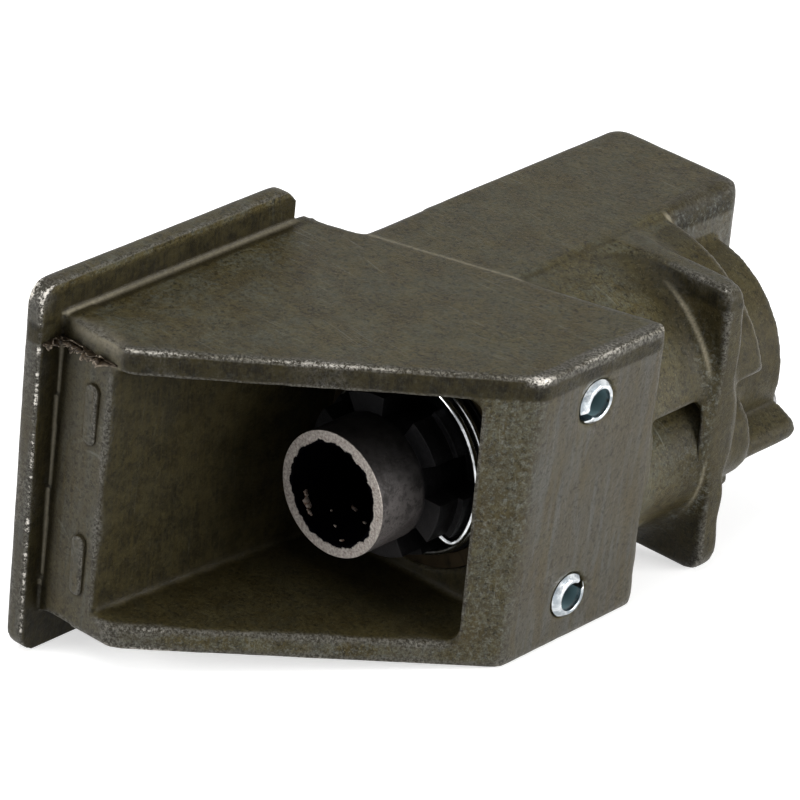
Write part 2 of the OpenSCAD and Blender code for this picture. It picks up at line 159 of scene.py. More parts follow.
# A pad's rings, from wall to top: inset and height in mm, then how worn, sunken (painted shade and highlight
# in the hollow), grey (painted sheen), dotted and dark (a painted shadow line round the pad's foot)
PAD_RINGS = [
    (-0.1, -0.9, 0, 0.9, 0, 0, 1),
    (-0.06, -0.5, 0, 0.9, 0, 0, 1),
    (0, -0.2, 0.2, 0.6, 0.3, 0, 0.5),
    (0.12, -0.04, 0.95, 0.1, 0.8, 0.5, 0),
    (0.35, 0.05, 0.75, 0, 0.8, 0.5, 0),
    (0.8, 0.08, 0.35, 0, 0.8, 0.4, 0),
]

# The detent wire's route, as in the CAD source; its radius is 0.1 mm larger, as it looks in the photo
WIRE_R = 0.6 * MM
COIL_R = 16.1 * MM
HOOK_R = 13.6 * MM
LEG_R = 21.5 * MM
WIRE_Y = 17.2 * MM
WIRE_PITCH = 2.1 * MM
HOOK_REACH = 1.1 * MM
HOOK_ANGLE = -40
HOOK_LEAD = 9
LEG_ANGLE = 487
LEG_BEND = 40
LEG_END_Y = 26.5 * MM

# The spring pins' wall, as in the CAD source
PIN_WALL = 1.5 * MM

# The round on the edges of the turned and formed pieces, in mm
EDGE_ROUNDS = {
    "coupling_sleeve": 0.25, "front_bush": 0.2, "rear_bush": 0.2, "thrust_washer": 0.2, "socket_liner": 0.25,
    "upper_spring_pin": 0.45, "lower_spring_pin": 0.45, "locking_plunger": 0.3, "plunger_guide": 0.12,
}

# Flakes of scale in the sleeve's bore: angle about the axis, depth and size in mm; their sides and faces
FLAKES = [
    (217, 2.2, 1.5), (207, 2.6, 0.8), (228, 1.6, 0.7), (245, 10.4, 0.8), (255, 4.3, 0.4), (280, 1.9, 0.6),
    (268, 9.3, 0.5), (236, 6, 0.35),
]
FLAKE_SIDES = 9
FLAKE_LIFTS = (-0.1 * MM, 0.16 * MM)

# The plunger's spring
SPRING_TURNS = 10
SPRING_STEPS = 24
SPRING_WIRE_R = 0.4 * MM
SPRING_SIDES = 10

# The ragged casting flash: along the flange's face, then across the top of the front wall
FLASH_Z = 23.2 * MM
FLASH_START_X = -30 * MM
FLASH_FLANGE_YS = (-32.2 * MM, -28.4 * MM)
FLASH_WALL_XS = (-36.1 * MM, -23.4 * MM)
FLASH_STEPS = (16, 54)

# Its layers, with how far each falls and stands out in mm, and the wear over a cross-section's five points
FLASH_LAYERS = ((-1.5, 1.0), (-0.8, 1.9), (0.9, 1.3))
FLASH_WORN = (0.0, 0.35, 1.0, 0.35, 0.0)
FLASH_ROOT = 0.4 * MM

# The flange's face towards the hood, sheltered from wear; its paint is darkened there as painted shade
SHADED_FACE_LOW = Vector((-37.4, -32.2, -60)) * MM
SHADED_FACE_HIGH = Vector((-34.6, 60, 31.8)) * MM

# The flange's inner edges, which stay crisp
CRISP_LOW = Vector((-37.4, -60, -60)) * MM
CRISP_HIGH = Vector((-34.9, 60, 60)) * MM

# The rear of the casting, given painted shade so that it is darker than the hood
REAR_START = 56 * MM
REAR_TOP = 26.2 * MM

# The top of the mouth's lip, the right wall's top rim, the block's speckled edge, and the front wall's top
# corner, rubbed round and grey
LIP_TOP = 26.6 * MM
RIM_LOW = Vector((25.8, 15, 25.6)) * MM
RIM_HIGH = Vector((30, 50, 28)) * MM
BAND_LOW = Vector((-2.5, 82, 25.8)) * MM
BAND_HIGH = Vector((4, 104, 29)) * MM
RUBBED_LOW = Vector((-35.6, -34, 22)) * MM
RUBBED_HIGH = Vector((-23, -22, 30)) * MM
MOUTH_FACING = np.array((0.707, -0.707, 0))
MARGIN = 0.8 * MM
RUBBED_MARGIN = 2 * MM

# How dark the paint is there, next to 1 inside the chamber: painted shade inside the chamber, on the flange's
# face, at the rear, in the crease beside the block, in the front wall's corner and as a shadow line round the
# pads; on the lip and the block's band the paint itself is darker
FLANGE_FACE_SHADE = 1.15
LIP_DARK = 1.2
REAR_SHADE = 0.66
BAND_DARK = 0.75
BLOCK_CREASE_SHADE = 0.6
CORNER_SHADE = 0.7
PAD_SHADOW_LINE = 0.95

# How worn the block's band and the wall's rim are, next to 1 on a full edge
BAND_WORN = 0.45
RIM_WORN = 0.85

# The photograph's camera
CAMERA_AT = Vector((553.3, -656.6, 467.3)) * MM
CAMERA_RIGHT = Vector((0.7395, 0.6676, 0.0861))
CAMERA_UP = Vector((-0.3681, 0.2941, 0.8820))
LENS_MM = 270
SENSOR_MM = 36

# The object lies on its flange's lower edge and on the hood's lower right edge
FLOOR_LEFT = Vector((-36.5, 20, -34.8)) * MM
FLOOR_RIGHT = Vector((26.4, 20, -27.0)) * MM
FLOOR_GAP = 0.05 * MM
FLOOR_R = 0.45
FLOOR_GREY = (0.84, 0.84, 0.84, 1)
FLOOR_GLOW = 0.62
WHITE = (1, 1, 1, 1)

# The studio's fill light, and its soft boxes: name, place, aim and width in metres, and watts
FILL = 0.14
SOFT_BOXES = [
    ("key", (0.82, 0.3, 0.16), (0.02, 0.03, 0), 0.7, 18),
    ("overhead", (-0.15, -0.3, 0.85), (0, 0.03, 0), 0.8, 4.6),
    ("front", (-0.55, -0.75, 0.12), (-0.02, 0, 0), 0.6, 8),
]


def srgb(red, green, blue):
    """A colour given as it looks on screen, 0 to 255, as Blender's linear colour."""
    linear = [c / 12.92 if c <= 0.04045 else ((c + 0.055) / 1.055) ** 2.4
              for c in (red / 255, green / 255, blue / 255)]
    return (*linear, 1)


class Shader:
    """A Principled material, with short calls that add nodes to it."""

    def __init__(self, name):
        self.material = bpy.data.materials.new(name)
        self.material.use_nodes = True
        self.tree = self.material.node_tree
        self.bsdf = self.tree.nodes["Principled BSDF"]
        self.place = self.tree.nodes.new("ShaderNodeTexCoord").outputs["Object"]

    def node(self, kind, **settings):
        made = self.tree.nodes.new("ShaderNode" + kind)
        for key, value in settings.items():
            setattr(made, key, value)
        return made

    def feed(self, socket, value):
        """Links value to the socket if it is another node's output, and sets it there if it is a constant."""
        if isinstance(value, bpy.types.NodeSocket):
            self.tree.links.new(value, socket)
        else:
            socket.default_value = value

    def fill(self, made, **inputs):
        """Feeds a node's inputs; an underscore in a name stands for a space."""
        for name, value in inputs.items():
            self.feed(made.inputs[name.replace("_", " ")], value)

    def set(self, **inputs):
        """Feeds the Principled shader's inputs."""
        self.fill(self.bsdf, **inputs)

    def attribute(self, name):
        return self.node("Attribute", attribute_name=name).outputs["Fac"]

    def math(self, operation, *values):
        made = self.node("Math", operation=operation)
        for socket, value in zip(made.inputs, values):
            self.feed(socket, value)
        return made.outputs[0]

    def plus(self, a, b):
        return self.math("ADD", a, b)

    def minus(self, a, b):
        return self.math("SUBTRACT", a, b)

    def times(self, a, b):
        return self.math("MULTIPLY", a, b)

    def vector(self, operation, a, b):
        made = self.node("VectorMath", operation=operation)
        self.feed(made.inputs[0], a)
        self.feed(made.inputs[1], b)
        return made.outputs["Value" if operation == "LENGTH" else "Vector"]

    def axis(self, vector, letter):
        made = self.node("SeparateXYZ")
        self.feed(made.inputs[0], vector)
        return made.outputs[letter]

    def noise(self, size, detail=3, rough=0.5, distortion=0, place=None):
        """Noise whose features are about size metres across."""
        made = self.node("TexNoise")
        self.fill(made, Vector=place or self.place, Scale=1 / size, Detail=detail, Roughness=rough,
                  Distortion=distortion)
        return made.outputs["Fac"]

    def ramp(self, value, start, end, low=0, high=1):
        """low up to start, high from end, and a smooth change between them."""
        made = self.node("MapRange", interpolation_type="SMOOTHSTEP")
        self.fill(made, Value=value, From_Min=start, From_Max=end, To_Min=low, To_Max=high)
        return made.outputs[0]

    def mix(self, factor, a, b):
        """Colour a where factor is 0, and b where it is 1."""
        made = self.node("Mix", data_type="RGBA")
        self.feed(made.inputs["Factor"], factor)
        self.feed(made.inputs[6], a)
        self.feed(made.inputs[7], b)
        return made.outputs[2]

    def scratches(self, turn, length, width, swirl):
        """Fine slanting lines along one direction, bent by a slow noise."""
        bend = self.node("TexNoise")
        self.fill(bend, Vector=self.place, Scale=1 / (swirl * 3))
        shift = self.node("VectorMath", operation="SCALE")
        self.fill(shift, Vector=bend.outputs["Color"], Scale=swirl)
        mapping = self.node("Mapping")
        self.fill(mapping, Vector=self.vector("ADD", self.place, shift.outputs["Vector"]),
                  Rotation=(math.radians(turn + 10), 0, math.radians(turn)),
                  Scale=(width / length, 1, width / length))
        lines = self.noise(width, 1, 0.4, 0, mapping.outputs["Vector"])
        return self.ramp(lines, 0.67, 0.77)

    def streaks(self, width, length):
        """Soft streaks down the piece."""
        mapping = self.node("Mapping")
        self.fill(mapping, Vector=self.place, Scale=(1, 1, width / length))
        return self.ramp(self.noise(width, 3, 0.6, 0, mapping.outputs["Vector"]), 0.45, 0.65)

    def bump(self, height, depth, strength):
        """Gives the surface that relief, depth metres deep."""
        made = self.node("Bump")
        self.fill(made, Height=height, Distance=depth, Strength=strength)
        self.set(Normal=made.outputs["Normal"])


def cast_paint():
    """Olive paint on a casting: mottled, hazed and scratched, worn bright along edges; with painted shade in
    the chamber, corners and hollows, a painted grey sheen on faces turned right and to the front, and painted
    highlight lines along fillets.
    """
    s = Shader("cast_paint")
    edge, cave, inside, knock, grey, line, mouth = (s.attribute(name) for name in PAINT_MASKS)
    outside = s.minus(1, inside)
    ridge = s.ramp(edge, 0.75, 1.35)
    edge = s.math("MINIMUM", edge, 1)
    patch = s.ramp(s.noise(15 * MM, 6, 0.65, 0.6), 0.4, 0.6)
    crumb = s.noise(0.8 * MM, 6, 0.75)
    grain = s.noise(0.35 * MM, 4, 0.7)

    colour = s.mix(patch, srgb(55, 48, 26), srgb(57, 54, 39))
    colour = s.mix(s.ramp(s.noise(4 * MM, 9, 0.8, 0.5), 0.44, 0.58, 0, 0.8), colour, srgb(72, 66, 42))
    colour = s.mix(s.ramp(s.noise(6 * MM, 9, 0.8, 0.8), 0.5, 0.38, 0, 0.6), colour, srgb(40, 35, 20))
    colour = s.mix(s.ramp(crumb, 0.52, 0.38, 0, 0.95), colour, srgb(25, 22, 13))
    colour = s.mix(s.ramp(grain, 0.55, 0.66, 0, 0.85), colour, srgb(96, 88, 65))
    colour = s.mix(s.times(s.streaks(0.9 * MM, 14 * MM), 0.35), colour, srgb(68, 58, 30))
    haze = s.ramp(s.noise(7 * MM, 9, 0.78, 0.7), 0.42, 0.6)
    hazed = s.times(haze, s.ramp(s.noise(0.7 * MM, 6, 0.8), 0.4, 0.6))
    colour = s.mix(s.times(hazed, s.ramp(outside, 0.4, 1, 0, 0.55)), colour, srgb(87, 89, 80))

    # Painted grey sheen on faces turned to the right and to the front, mixed with grey wear on the rubbed
    # corner
    tint = s.mix(s.streaks(1.6 * MM, 16 * MM), srgb(65, 62, 56), srgb(71, 71, 69))
    tint = s.mix(s.times(s.streaks(2.6 * MM, 22 * MM), 0.45), tint, srgb(68, 60, 42))
    tint = s.mix(s.ramp(crumb, 0.52, 0.36, 0, 0.7), tint, srgb(44, 41, 35))
    colour = s.mix(s.times(grey, 0.75), colour, tint)
    # Painted shade inside the chamber and in sheltered places, with darker paint on the lip and the block's
    # band
    dark = s.mix(s.ramp(s.noise(3 * MM, 8, 0.8), 0.42, 0.58), srgb(19, 17, 10), srgb(40, 36, 21))
    dark = s.mix(s.times(s.streaks(0.4 * MM, 9 * MM), 0.4), dark, srgb(46, 40, 22))
    colour = s.mix(s.times(inside, 0.8), colour, dark)
    dots = s.ramp(s.noise(0.9 * MM, 7, 0.8, 0.4), 0.48, 0.68)
    colour = s.mix(s.times(mouth, s.times(dots, 0.75)), colour, srgb(104, 106, 100))

    broken = s.ramp(s.noise(8 * MM, 4, 0.65), 0.46, 0.6)
    lines = s.math("MAXIMUM", s.scratches(30, 16 * MM, 0.2 * MM, 16 * MM),
                   s.scratches(-50, 14 * MM, 0.18 * MM, 22 * MM))
    scratch = s.times(s.times(lines, broken), s.ramp(outside, 0.5, 1, 0.06, 0.36))
    scratch = s.times(scratch, s.ramp(grey, 0, 1, 1, 0.35))
    colour = s.mix(scratch, colour, srgb(128, 132, 126))

    # Painted shade in the hollows
    colour = s.mix(s.ramp(cave, 0.1, 0.5, 0, 0.35), colour, srgb(30, 25, 13))
    # Painted highlight lines along fillets and corners
    colour = s.mix(s.times(line, s.ramp(crumb, 0.3, 0.6, 0.5, 0.9)), colour, srgb(172, 164, 142))
    # Painted highlight along the deepest fillets, which also get glossier paint
    pooled_gloss_and_highlight = s.ramp(cave, 0.7, 0.95)
    colour = s.mix(s.times(pooled_gloss_and_highlight, 0.12), colour, srgb(112, 106, 92))

    rub = s.noise(7 * MM, 4, 0.6)
    speck = s.noise(0.5 * MM, 6, 0.8)
    rubbed = s.plus(s.plus(edge, knock), s.times(s.minus(rub, 0.5), 0.9))
    band = s.mix(s.ramp(speck, 0.4, 0.62), srgb(32, 29, 24), srgb(102, 100, 94))
    colour = s.mix(s.ramp(rubbed, 0.25, 0.85, 0, 0.75), colour, band)
    flecked = s.plus(rubbed, s.times(s.minus(speck, 0.5), 3.4))
    bared = s.math("MAXIMUM", ridge, s.ramp(knock, 0.2, 0.5))
    wear = s.times(s.ramp(flecked, 1.05, 1.5), s.times(s.ramp(edge, 0.2, 0.6), bared))
    colour = s.mix(wear, colour, s.mix(s.ramp(knock, 0.08, 0.4), srgb(136, 131, 119), srgb(208, 203, 194)))

    dulled = s.ramp(s.plus(hazed, grain), 0.3, 1.3, 0.3, 0.5)
    shine = s.minus(dulled, s.times(pooled_gloss_and_highlight, 0.1))
    s.set(Base_Color=colour, Roughness=shine, Metallic=s.times(wear, 0.4))
    s.set(Specular_IOR_Level=0.08)
    peel = s.plus(crumb, s.times(s.noise(2.4 * MM, 3, 0.55), 0.8))
    s.bump(s.minus(peel, s.times(wear, 0.3)), 0.2 * MM, 0.6)
    return s.material


def sleeve_steel():
    """Dark speckled steel: a pale worn end face, a bore black with soot and a few bright flakes, and painted
    shade over the tube's top and along its length into the chamber.
    """
    s = Shader("sleeve_steel")
    bore_r = MOUNTS["pipe_thread"]["dims"]["r_mm"] * MM
    tube_bore_r = MOUNTS["outlet_bore"]["dims"]["r_mm"] * MM
    radius = s.vector("LENGTH", s.vector("MULTIPLY", s.place, (1, 0, 1)), (0, 0, 0))
    depth = s.axis(s.place, "Y")
    cloud = s.noise(5 * MM, 5, 0.65)
    speck = s.ramp(s.noise(0.6 * MM, 5, 0.75), 0.48, 0.64)
    fine = s.noise(0.3 * MM, 3, 0.6)

    colour = s.mix(cloud, srgb(70, 66, 65), srgb(108, 103, 101))
    # Painted shade over the tube's upper side, with a ragged edge
    height = s.axis(s.place, "Z")
    uneven = s.times(s.minus(cloud, 0.5), 8 * MM)
    top_shade = s.ramp(s.plus(height, uneven), -3 * MM, 6 * MM, 0, 0.85)
    colour = s.mix(top_shade, colour, srgb(26, 25, 25))
    # Soot patches, heavier towards the top as painted shade
    soot_and_top_shade = s.times(s.ramp(s.noise(2.4 * MM, 8, 0.8), 0.46, 0.56), s.ramp(height, -6 * MM, 4 * MM, 0.2, 0.9))
    colour = s.mix(soot_and_top_shade, colour, srgb(24, 22, 21))
    toward_end = s.ramp(depth, 9 * MM, 1 * MM, 0.3, 0.9)
    colour = s.mix(s.times(speck, toward_end), colour, srgb(40, 37, 36))
    # Painted shade from 10 mm and again from 15 mm back along the sleeve, where it reaches into the chamber's
    # dark
    colour = s.mix(s.ramp(depth, 9.6 * MM, 10.6 * MM, 0, 0.9), colour, srgb(18, 18, 20))
    colour = s.mix(s.ramp(depth, 14.6 * MM, 15.4 * MM, 0, 0.7), colour, srgb(13, 13, 15))

    face = s.ramp(depth, 0.3 * MM, 0.1 * MM)
    pits = s.ramp(s.noise(0.9 * MM, 5, 0.7), 0.56, 0.68)
    pale = s.mix(s.ramp(s.noise(0.5 * MM, 4, 0.7), 0.35, 0.65), srgb(104, 98, 93), srgb(150, 144, 138))
    pale = s.mix(s.times(pits, 0.7), pale, srgb(92, 70, 60))
    colour = s.mix(face, colour, pale)

    jagged = s.times(s.minus(s.noise(2.4 * MM, 3, 0.6), 0.5), -2.4 * MM)
    ragged = s.plus(radius, jagged)
    soot = s.math("MAXIMUM", s.ramp(ragged, bore_r + 0.15 * MM, bore_r - 0.1 * MM),
                  s.ramp(radius, tube_bore_r + 0.1 * MM, tube_bore_r + 0.03 * MM))
    colour = s.mix(soot, colour, s.mix(speck, srgb(3, 3, 5), srgb(8, 7, 8)))
    bare = s.minus(1, soot)
    s.set(Specular_IOR_Level=s.times(bare, 0.5))
    s.set(Base_Color=colour, Metallic=s.times(bare, 0.85),
          Roughness=s.ramp(s.plus(fine, cloud), 0.5, 1.5, 0.36, 0.6))
    s.bump(s.plus(fine, s.times(speck, -0.8)), 0.06 * MM, 0.5)
    return s.material


def rusty_flake():
    """Flakes of scale and rust: pale brown, pitted, dull."""
    s = Shader("rusty_flake")
    spots = s.ramp(s.noise(0.5 * MM, 5, 0.7), 0.4, 0.62)
    colour = s.mix(spots, srgb(150, 140, 130), srgb(92, 66, 52))
    s.set(Base_Color=colour, Roughness=s.ramp(spots, 0, 1, 0.5, 0.8))
    s.bump(s.noise(0.3 * MM, 4, 0.7), 0.08 * MM, 0.7)
    return s.material


def torn_metal():
    """The flash's torn metal: dark brown, with pale tips."""
    s = Shader("torn_metal")
    spots = s.noise(0.6 * MM, 6, 0.75)
    tips = s.times(s.ramp(s.attribute("edge"), 0.45, 1), s.ramp(spots, 0.4, 0.6))
    colour = s.mix(s.ramp(spots, 0.4, 0.6), srgb(32, 25, 17), srgb(62, 51, 37))
    s.set(Base_Color=s.mix(tips, colour, srgb(150, 138, 122)), Roughness=s.ramp(spots, 0.3, 0.7, 0.35, 0.6))
    s.set(Metallic=0.2, Specular_IOR_Level=0.25)
    s.bump(spots, 0.1 * MM, 0.6)
    return s.material


def turned_metal(name, dark, light, centre, roughness, stain):
    """Turned metal: fine rings about an axis along Y through centre, oil stains and a cloudy polish."""
    s = Shader(name)
    offset = s.vector("SUBTRACT", s.place, (centre[0], 0, centre[2]))
    radius = s.vector("LENGTH", s.vector("MULTIPLY", offset, (1, 0, 1)), (0, 0, 0))
    across = s.node("CombineXYZ")
    s.feed(across.inputs["X"], radius)
    s.feed(across.inputs["Y"], s.axis(s.place, "Y"))
    rings = s.noise(0.18 * MM, 2, 0.6, 0, across.outputs[0])
    cloud = s.noise(3.5 * MM, 5, 0.6)
    oil = s.ramp(s.noise(6 * MM, 4, 0.6, 0.8), 0.52, 0.68, 0, 0.7)
    colour = s.mix(s.times(s.plus(rings, cloud), 0.5), dark, light)
    s.set(Base_Color=s.mix(oil, colour, stain),
          Roughness=s.ramp(s.plus(rings, cloud), 0.5, 1.5, roughness, roughness + 0.22))
    s.set(Metallic=0.95)
    s.bump(s.plus(rings, s.times(cloud, 0.3)), 0.02 * MM, 0.35)
    return s.material


def bright_metal(name, dull, bright, low, high):
    """Plated or drawn bright metal, with a cloudy tone and small handling marks."""
    s = Shader(name)
    cloud = s.noise(2.2 * MM, 4, 0.6, 0.5)
    fine = s.noise(0.35 * MM, 3, 0.6)
    marks = s.ramp(s.noise(0.9 * MM, 4, 0.7), 0.6, 0.68, 0, 0.5)
    colour = s.mix(marks, s.mix(s.ramp(cloud, 0.35, 0.65), bright, dull), dull)
    s.set(Base_Color=colour, Roughness=s.ramp(s.plus(cloud, fine), 0.6, 1.4, low, high))
    s.set(Metallic=1.0)
    s.bump(fine, 0.015 * MM, 0.3)
    return s, colour


def zinc_pin(node):
    """Zinc plate on a hollow pin along X; down its hole, a blue-green painted reflection at the mouth that
    darkens to painted shade further in.
    """
    s, colour = bright_metal("zinc_" + node, srgb(150, 158, 164), srgb(228, 232, 234), 0.1, 0.26)
    low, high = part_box(node)
    middle = (low + high) / 2
    hole_r = (high.z - low.z) / 2 - PIN_WALL
    offset = s.vector("SUBTRACT", s.place, (0, middle.y, middle.z))
    radius = s.vector("LENGTH", s.vector("MULTIPLY", offset, (0, 1, 1)), (0, 0, 0))
    depth = s.minus(high.x, s.axis(s.place, "X"))
    # The hole's colour: painted reflection near its mouth, painted shade further in
    hole = s.times(s.ramp(radius, hole_r + 0.12 * MM, hole_r), s.ramp(depth, 0.3 * MM, 1.2 * MM))
    deep_shade = s.ramp(depth, 1 * MM, 7 * MM)
    s.set(Base_Color=s.mix(hole, colour, s.mix(deep_shade, srgb(130, 158, 164), srgb(30, 54, 62))),
          Metallic=s.minus(1, s.times(hole, 0.7)))
    return s.material


def body_of(node):
    """The CAD body that a node belongs to."""
    return next(body for body, members in RECORD["behaviour"]["bodies"].items() if node in members)


def middle_of(node):
    """The middle of a CAD node's box."""
    low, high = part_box(node)
    return (low + high) / 2


def new_object(name, data):
    """A new object in the scene."""
    made = bpy.data.objects.new(name, data)
    bpy.context.scene.collection.objects.link(made)
    return made


def add_piece(name, mesh, material, body):
    """A piece of the object that rides on a CAD body."""
    mesh.name = name
    mesh.materials.clear()
    mesh.materials.append(material)
    mesh.polygons.foreach_set("use_smooth", [True] * len(mesh.polygons))
    piece = new_object(name, mesh)
    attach(piece, body)
    return piece


def stand_in(name, mesh, material, node):
    """A finished piece that takes a CAD node's place."""
    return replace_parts(add_piece(name, mesh, material, body_of(node)), node)


def bridge(made, rings):
    """Adds the faces between each ring of vertices and the next."""
    for one, two in zip(rings, rings[1:]):
        for k in range(len(one)):
            n = (k + 1) % len(one)
            made.faces.new((one[k], one[n], two[n], two[k]))


def mesh_of(made, name, outward=True):
    """The mesh of a finished bmesh, with its faces turned outwards."""
    if outward:
        bmesh.ops.recalc_face_normals(made, faces=made.faces)
    mesh = bpy.data.meshes.new(name)
    made.to_mesh(mesh)
    made.free()
    return mesh


def rising(values, start, length):
    """0 up to start, rising to 1 over the length after it."""
    return np.clip((values - start) / length, 0, 1)


def peak(off, width):
    """1 where off is 0, falling away to both sides over about that width."""
    return np.exp(-(off / width) ** 2)


def relaxed(points, edges, rounds, share=0.5):
    """The points after so many rounds of moving that share of the way to the mean of their neighbours."""
    a, b = edges.T
    count = len(points)
    degree = np.bincount(edges.ravel(), minlength=count)[:, None]
    for _ in range(rounds):
        near = np.column_stack([np.bincount(a, row[b], count) + np.bincount(b, row[a], count)
                                for row in points.T])
        points = points + (near / degree - points) * share
    return points


def read(items, name, width, kind=np.float64):
    """A property of a mesh's vertices or edges as an array with one row each."""
    values = np.empty(len(items) * width, kind)
    items.foreach_get(name, values)
    return values.reshape(-1, width)


def remeshed(node):
    """A copy of a CAD node's mesh as an even skin of small quads."""
    source = new_object("skin_source", frame["nodes"][node].data.copy())
    skin = source.modifiers.new("skin", "REMESH")
    skin.mode = "VOXEL"
    skin.voxel_size = VOXEL
    mesh = bpy.data.meshes.new_from_object(source.evaluated_get(bpy.context.evaluated_depsgraph_get()))
    bpy.data.objects.remove(source)
    return mesh


def soft_box(points, low, high, margin):
    """1 inside a box and 0 outside it, changing over margin."""
    depth = np.minimum(points - np.array(low), np.array(high) - points).min(axis=1)
    return np.clip(depth / margin + 0.5, 0, 1)


def add_masks(mesh, **masks):
    """Adds the paint's masks to a mesh's vertices; a mask that isn't given is 0."""
    for name in PAINT_MASKS:
        values = masks.get(name, np.zeros(len(mesh.vertices)))
        mesh.attributes.new(name, "FLOAT", "POINT").data.foreach_set("value", values.astype(np.float32))


def blobs(points):
    """How knocked each point is."""
    bare = np.zeros(len(points))
    for place, reach, strength in KNOCKS:
        apart = np.linalg.norm(points - np.array(place) * MM, axis=1) / (reach * MM)
        bare = np.maximum(bare, strength * np.exp(-apart ** 2))
    return bare


def chips(points):
    """How chipped each point is along the flange's inner front edge."""
    x, y, z = points.T
    chipped = peak(np.hypot(x - FLANGE_FACE_X, y - FLANGE_FRONT_Y), 0.9 * MM)
    here = chipped > 0.03
    rough = along_z(z[here], (5, 1), 3 * MM) + 0.7 * along_z(z[here], (2, 7), 0.9 * MM)
    chipped[here] *= np.clip(0.42 + 0.9 * rough, 0, 0.95)
    return chipped


def pad_shadow_lines(points):
    """1 along the pads' outlines on the front wall, where a painted shadow line goes."""
    half_w, half_h = PAD_SIZE / 2
    outline = np.zeros(len(points))
    for pad_z in PAD_ZS:
        past_end = np.maximum(abs(points[:, 2] - pad_z) - (half_h - half_w), 0)
        off = np.hypot(points[:, 0] - PAD_X, past_end) - half_w
        outline = np.maximum(outline, peak(off, 0.4 * MM))
    return outline


def around_pins(points):
    """0 at the pins' holes in the right wall, rising to 1 a little away from them."""
    clear = np.ones(len(points))
    for node in ("upper_spring_pin", "lower_spring_pin"):
        middle = middle_of(node)
        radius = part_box(node)[1].z - middle.z
        apart = np.hypot(points[:, 1] - middle.y, points[:, 2] - middle.z)
        clear = np.minimum(clear, rising(apart, 1.15 * radius, 0.3 * radius))
    return clear


def along_z(z, seed, size):
    """Smooth noise along Z, with bumps of about that size."""
    return np.array([noise.noise(Vector((*seed, height / size))) for height in z])


def wavy(points, normals):
    """The points with a casting's slow waviness, and uneven back edges on the right wall and the rib."""
    depth = [noise.noise(p / WAVE) + 0.4 * noise.noise(p / WAVE * 3) for p in map(Vector, points)]
    points = points + normals * (WAVE_DEPTH * np.array(depth))[:, None]
    x, y, z = points.T
    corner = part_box("upper_spring_pin")[1]
    on_wall = rising(y, corner.y + 8 * MM, 6 * MM) * (y < corner.y + 17 * MM)
    on_wall *= rising(x, corner.x - 9 * MM, 5 * MM)
    points[:, 1] += BACK_EDGE_WAVE * on_wall * along_z(z, (0, 0.3), 5 * MM)
    on_rib = rising(x, 22 * MM, 4 * MM) * (abs(points[:, 1] - RIB_BACK) < 1.6 * MM)
    points[:, 1] += RIB_EDGE_WAVE * on_rib * along_z(z, (9, 0.3), 6 * MM)
    return points


def back_outside(points):
    """1 on the casting's outside behind the hood, and 0 in the bores that hold other pieces."""
    boss = middle_of("locking_plunger")
    main = np.hypot(points[:, 0], points[:, 2]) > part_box("front_bush")[1].x + 1 * MM
    plunger = np.hypot(points[:, 0] - boss.x, points[:, 2] - boss.z) > 5 * MM
    neck = points[:, 1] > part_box("socket_liner")[1].y - 14 * MM
    return (main | neck) & plunger & (points[:, 1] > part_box("rear_bush")[1].y + 4 * MM)


def bulge(mesh, points, edges):
    """How far each point stands out past its smoothed surroundings, and the normals."""
    mesh.vertices.foreach_set("co", points.ravel())
    mesh.update()
    normals = read(mesh.vertices, "normal", 3)
    return ((points - relaxed(points, edges, BULGE_ROUNDS)) * normals).sum(axis=1) / FULL_BULGE, normals


def rib_highlights(points):
    """1 along the painted highlight lines at the starts of the fillets in front of the rib, round the barrel
    and round the boss.
    """
    x, y, z = points.T
    boss = middle_of("locking_plunger")
    from_axis = np.hypot(x, z)
    from_boss = np.hypot(x - boss.x, z - boss.z)
    half_way = 0.35 * RIB_FILLET
    ahead = peak(y - RIB_Y + half_way, 0.22 * MM)
    upper = rising(z, HIGHLIGHT_LOW_Z, 5 * MM) * rising(-z, -0.93 * BARREL_R, 3 * MM)
    barrel = peak(from_axis - BARREL_R - half_way, 1.2 * MM) * upper
    lower = peak(from_boss - BOSS_R - half_way, 1.2 * MM) * (from_axis > 0.6 * BARREL_R)
    rim = peak(y - BARREL_END, 0.4 * MM) * peak(from_axis - BARREL_R, 0.5 * MM) * (z > -4 * MM)
    return np.maximum(ahead * np.maximum(barrel, 0.5 * lower), 0.8 * rim)


def flange_highlights(points):
    """1 along the corners where the flange's face meets the hood's top and front wall, for painted highlight
    lines.
    """
    x, y, z = points.T
    from_face = x - FLANGE_FACE_X
    on_top = peak(np.hypot(from_face - 0.3 * MM, z - HOOD_TOP - 0.3 * MM), 0.22 * MM) * (y > FRONT_WALL_Y)
    on_top *= 0.4 + 0.5 * peak(y - FRONT_WALL_Y, 10 * MM)
    on_front = peak(np.hypot(from_face, y - corner_y(points)), 0.3 * MM) * (abs(z) < CHAMBER_HIGH.z)
    return np.maximum(on_top, 0.8 * on_front)


def highlight_lines(points):
    """1 along the fillets and corners that get a painted highlight line."""
    x, y, z = points.T
    hood_end = HOOD_END_Y - HOOD_END_SLOPE * (HOOD_RIGHT - x)
    # A painted highlight line along the crease at the hood's rear top edge
    crease_highlight = peak(y - hood_end, 0.3 * MM) * (x < BLOCK_RIGHT) * (z > BLOCK_TOP)
    return np.maximum.reduce([rib_highlights(points), 0.38 * crease_highlight, 0.7 * flange_highlights(points)])


